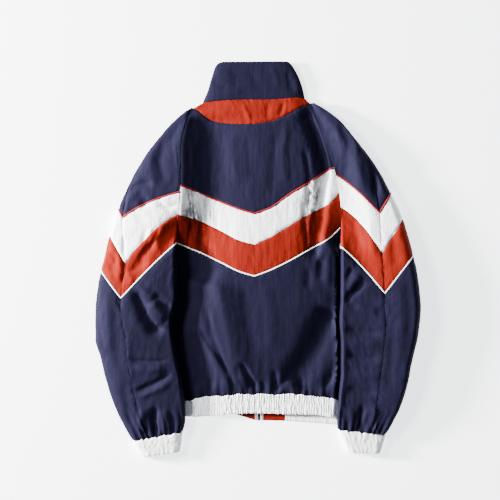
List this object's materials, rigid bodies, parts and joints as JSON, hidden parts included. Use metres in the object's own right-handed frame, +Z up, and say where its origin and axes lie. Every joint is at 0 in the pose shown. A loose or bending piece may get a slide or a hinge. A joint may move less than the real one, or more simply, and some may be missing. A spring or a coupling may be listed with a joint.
{
  "type": "zip-front track jacket",
  "caption": "Colour-block nylon track jacket laid face-down, with a stand collar, chevron bands, raglan sleeves, gathered cuffs and waistband, and a front zip.",
  "frame": {"origin": "on the surface the jacket lies on, under the middle of its outline", "axes": "+X to the right as it lies face-down, +Y towards the collar, +Z up from the surface, out of the back"},
  "size_m": [0.6636, 0.8106, 0.0414],
  "materials": {
    "navy_nylon": "crinkled nylon with a slight sheen",
    "red_nylon": "crinkled nylon with a slight sheen",
    "white_nylon": "crinkled nylon with a slight sheen",
    "white_elastic": "shirred nylon over elastic",
    "red_piping": "folded piping",
    "white_piping": "folded piping",
    "zip_tape": "woven tape",
    "zip_teeth": "moulded zip teeth",
    "zip_metal": "lacquered die-cast metal"
  },
  "bodies": {
    "jacket": {"collar": "navy_nylon", "neck_crescent": "red_nylon", "back_yoke": "navy_nylon", "back_band_white": "white_nylon", "back_band_red": "red_nylon", "back_lower": "navy_nylon", "back_piping_red": "red_piping", "back_piping_white": "white_piping", "waistband_back": "white_elastic", "front_left": "navy_nylon", "front_right": "navy_nylon", "waistband_front_left": "white_elastic", "hem_tab_left": "red_nylon", "hem_tab_right": "red_nylon", "waistband_front_right": "white_elastic", "zip_tape_left": "zip_tape", "zip_tape_right": "zip_tape", "zip_chain": "zip_teeth", "zip_slider": "zip_metal", "left_sleeve_back_upper": "navy_nylon", "left_sleeve_back_white": "white_nylon", "left_sleeve_back_red": "red_nylon", "left_sleeve_back_lower": "navy_nylon", "left_sleeve_front_upper": "navy_nylon", "left_sleeve_front_white": "white_nylon", "left_sleeve_front_red": "red_nylon", "left_sleeve_front_lower": "navy_nylon", "left_sleeve_piping_red": "red_piping", "left_sleeve_piping_white": "white_piping", "left_cuff": "white_elastic", "right_sleeve_back_upper": "navy_nylon", "right_sleeve_back_white": "white_nylon", "right_sleeve_back_red": "red_nylon", "right_sleeve_back_lower": "navy_nylon", "right_sleeve_front_upper": "navy_nylon", "right_sleeve_front_white": "white_nylon", "right_sleeve_front_red": "red_nylon", "right_sleeve_front_lower": "navy_nylon", "right_sleeve_piping_red": "red_piping", "right_sleeve_piping_white": "white_piping", "right_cuff": "white_elastic"},
    "pull": {"zip_pull": "zip_metal"}
  },
  "joints": [
    {"name": "pull_swing", "type": "hinge", "parent": "jacket", "child": "pull", "pos_m": [0.0022, 0.3387, 0.0015], "axis": [1, 0, 0], "range_deg": [0, 170]}
  ]
}
